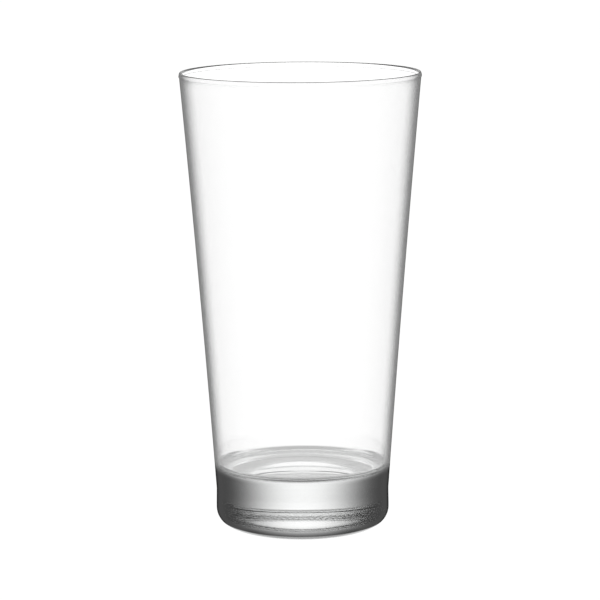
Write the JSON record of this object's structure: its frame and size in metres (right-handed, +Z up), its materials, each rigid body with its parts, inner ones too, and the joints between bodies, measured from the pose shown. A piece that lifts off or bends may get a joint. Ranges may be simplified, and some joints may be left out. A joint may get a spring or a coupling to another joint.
{
  "type": "mixing glass",
  "caption": "Tall conical clear mixing glass with a thin rounded rim, a thick solid base and a short straight foot.",
  "frame": {"origin": "centre of the face that the glass rests on", "axes": "+Z up along the axis of the glass, towards its mouth"},
  "size_m": [0.088, 0.088, 0.1674],
  "materials": {
    "clear_glass": "polished, clear and colourless"
  },
  "bodies": {
    "root": {"glass_body": "clear_glass"}
  },
  "joints": []
}
